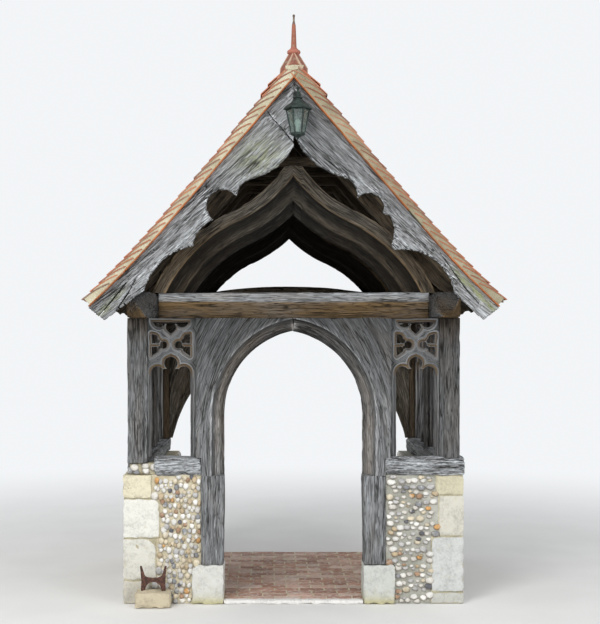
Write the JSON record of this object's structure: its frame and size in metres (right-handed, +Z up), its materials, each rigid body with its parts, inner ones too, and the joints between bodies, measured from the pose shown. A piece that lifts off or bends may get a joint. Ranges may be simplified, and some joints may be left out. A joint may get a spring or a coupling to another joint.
{
  "type": "timber-framed church porch",
  "caption": "Open timber-framed church porch with an ogee-braced gable, cusped bargeboards, traceried side lights, flint dwarf walls and a steep tiled roof.",
  "frame": {"origin": "on the ground, under the middle of the whole porch's box", "axes": "+Z up, +Y back towards the church wall, +X to the right as seen from the front"},
  "size_m": [3.612, 2.7256, 5.066],
  "materials": {
    "weathered_oak": "old oak weathered to silver grey, with open grain",
    "inner_oak": "old oak kept brown by shelter, dusty",
    "flint_walling": "flint cobbles in lime mortar",
    "limestone": "sawn and worn pale limestone",
    "brick_paving": "worn red brick with pale joints",
    "clay_tile": "hand-made clay plain tile, weathered",
    "rusty_iron": "rusted wrought iron",
    "lantern_metal": "dull green-grey patina",
    "lantern_glass": "clear, slightly dusty",
    "lamp_bulb": "frosted white"
  },
  "bodies": {
    "root": {"front_wall_left": "flint_walling", "front_wall_right": "flint_walling", "side_wall_left": "flint_walling", "side_wall_right": "flint_walling", "quoins_left": "limestone", "quoins_right": "limestone", "door_stone_left": "limestone", "door_stone_right": "limestone", "porch_floor": "brick_paving", "floor_kerb": "limestone", "boot_scraper_stone": "limestone", "boot_scraper": "rusty_iron", "sill_front_left": "weathered_oak", "sill_front_right": "weathered_oak", "side_sills": "weathered_oak", "corner_post_left": "weathered_oak", "corner_post_right": "weathered_oak", "mid_posts": "weathered_oak", "rear_posts": "inner_oak", "door_post_left": "weathered_oak", "door_post_right": "weathered_oak", "door_arch_left": "weathered_oak", "door_arch_right": "weathered_oak", "front_light_left": "weathered_oak", "front_light_right": "weathered_oak", "side_lights_left": "weathered_oak", "side_lights_right": "weathered_oak", "front_tie_beam": "weathered_oak", "rear_tie_beam": "inner_oak", "wall_plate_left": "weathered_oak", "wall_plate_right": "weathered_oak", "ogee_brace_front_left": "inner_oak", "ogee_brace_front_right": "inner_oak", "ogee_brace_rear_left": "inner_oak", "ogee_brace_rear_right": "inner_oak", "rear_arch_left": "inner_oak", "rear_arch_right": "inner_oak", "rafters_left": "inner_oak", "rafters_right": "inner_oak", "collars": "inner_oak", "bargeboard_left": "weathered_oak", "bargeboard_right": "weathered_oak", "bargeboard_patch": "weathered_oak", "roof_tiles_left": "clay_tile", "roof_tiles_right": "clay_tile", "ridge_tiles": "clay_tile", "finial": "clay_tile", "lantern_frame": "lantern_metal", "lantern_bracket": "lantern_metal", "lantern_glass": "lantern_glass", "lantern_bulb": "lamp_bulb"}
  },
  "joints": []
}
